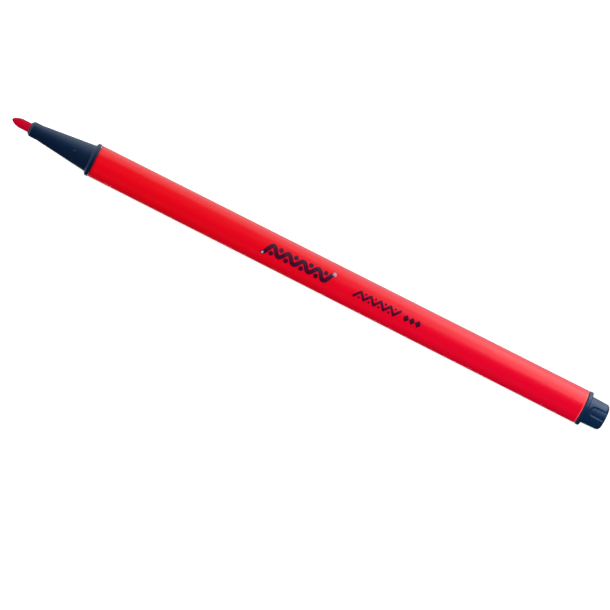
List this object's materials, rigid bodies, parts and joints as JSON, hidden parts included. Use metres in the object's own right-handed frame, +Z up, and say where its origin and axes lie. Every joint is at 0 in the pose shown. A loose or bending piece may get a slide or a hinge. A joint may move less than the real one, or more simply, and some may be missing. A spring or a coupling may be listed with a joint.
{
  "type": "felt tip marker",
  "caption": "Slim uncapped fibre-tip marker: round red barrel, dark blue cone and end plug, bullet nib fed by a fibre ink reservoir inside.",
  "frame": {"origin": "on the surface the pen lies on, under the middle of its length", "axes": "+X along the pen's axis from the writing point to the end plug, +Z up, +Y across"},
  "size_m": [0.1566, 0.0086, 0.0086],
  "materials": {
    "red_plastic": "injection-moulded polypropylene, smooth satin gloss, ink red",
    "navy_plastic": "injection-moulded polypropylene, dark navy blue, satin gloss",
    "nib_fibre": "bonded and ground polyester fibre rod, soaked with red ink",
    "reservoir_fibre": "loose polyester fibre bundle, soaked with red ink",
    "reservoir_film": "thin clear polypropylene film"
  },
  "bodies": {
    "barrel": {"barrel": "red_plastic", "ink_reservoir": "reservoir_fibre", "reservoir_wrap": "reservoir_film"},
    "nib_section": {"nib_section": "navy_plastic"},
    "nib": {"nib": "nib_fibre"},
    "end_plug": {"end_plug": "navy_plastic"}
  },
  "joints": [
    {"name": "section_pull", "type": "slide", "parent": "barrel", "child": "nib_section", "axis": [-1, 0, 0], "range_m": [0, 0.01]},
    {"name": "nib_pull", "type": "slide", "parent": "nib_section", "child": "nib", "axis": [-1, 0, 0], "range_m": [0, 0.01]},
    {"name": "plug_pull", "type": "slide", "parent": "barrel", "child": "end_plug", "axis": [1, 0, 0], "range_m": [0, 0.012]}
  ]
}
